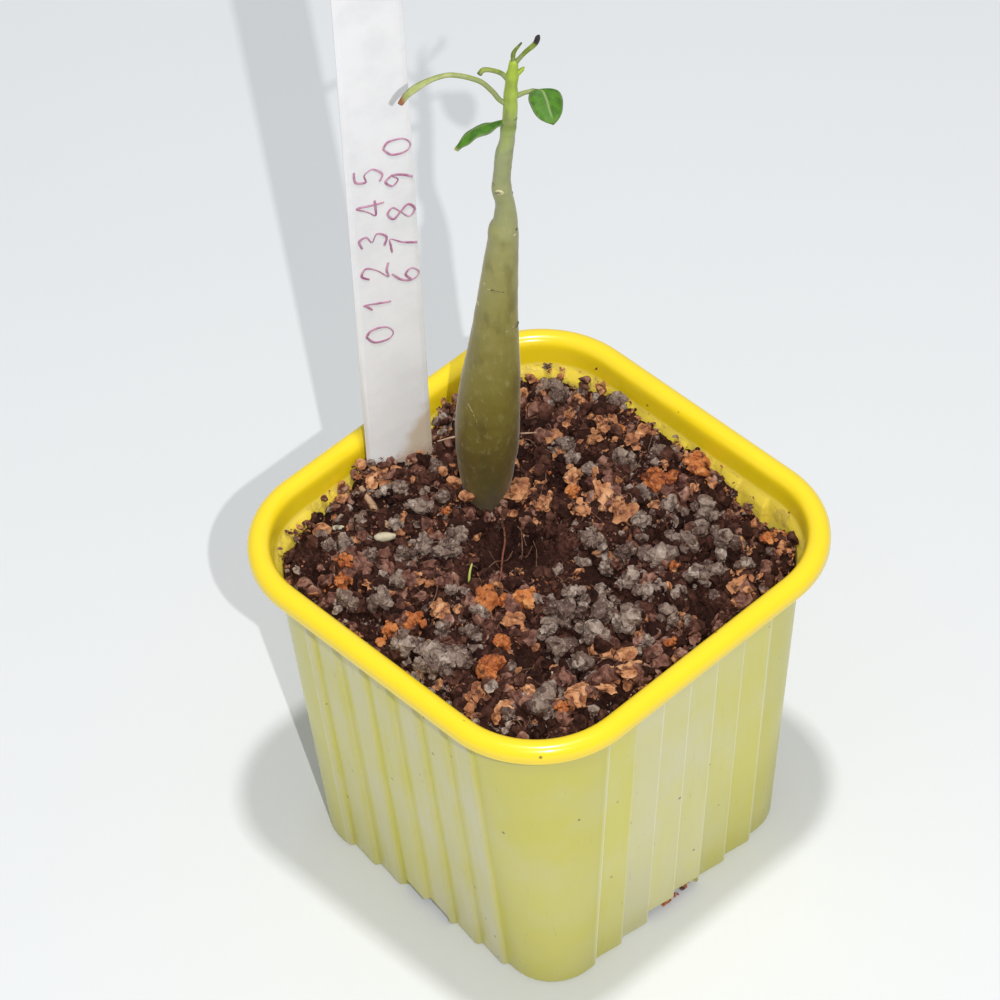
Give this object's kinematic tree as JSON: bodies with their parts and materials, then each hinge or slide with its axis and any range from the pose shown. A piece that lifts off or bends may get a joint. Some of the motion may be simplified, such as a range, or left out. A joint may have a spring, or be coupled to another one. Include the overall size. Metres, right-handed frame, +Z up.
{
  "type": "potted desert rose adenium",
  "caption": "Young desert rose with a swollen trunk and a few small leaves, standing in soil in a square pleated plastic nursery pot beside a blank plant label.",
  "frame": {"origin": "middle of the pot's flat base", "axes": "+Z up along the trunk and the label; the pot's four sides face -Y, +X, +Y and -X; the label stands on the -X side"},
  "size_m": [0.08, 0.08, 0.1741],
  "materials": {
    "pot_plastic": "glossy translucent yellow moulded plastic",
    "soil_mix": "dark peat with bark chips and grey lumps, matt",
    "stem_skin": "living skin, olive brown to fresh green, waxy",
    "leaf_green": "fleshy green leaf, semi-gloss",
    "label_plastic": "white plastic, satin"
  },
  "bodies": {
    "root": {"pot": "pot_plastic", "soil": "soil_mix", "caudex_stem": "stem_skin", "leaf_arching": "leaf_green", "leaf_right": "leaf_green", "leaf_lower_left": "leaf_green", "leaf_top_left": "leaf_green", "shoot_tip_left": "leaf_green", "shoot_tip_right": "leaf_green", "plant_label": "label_plastic"}
  },
  "joints": []
}
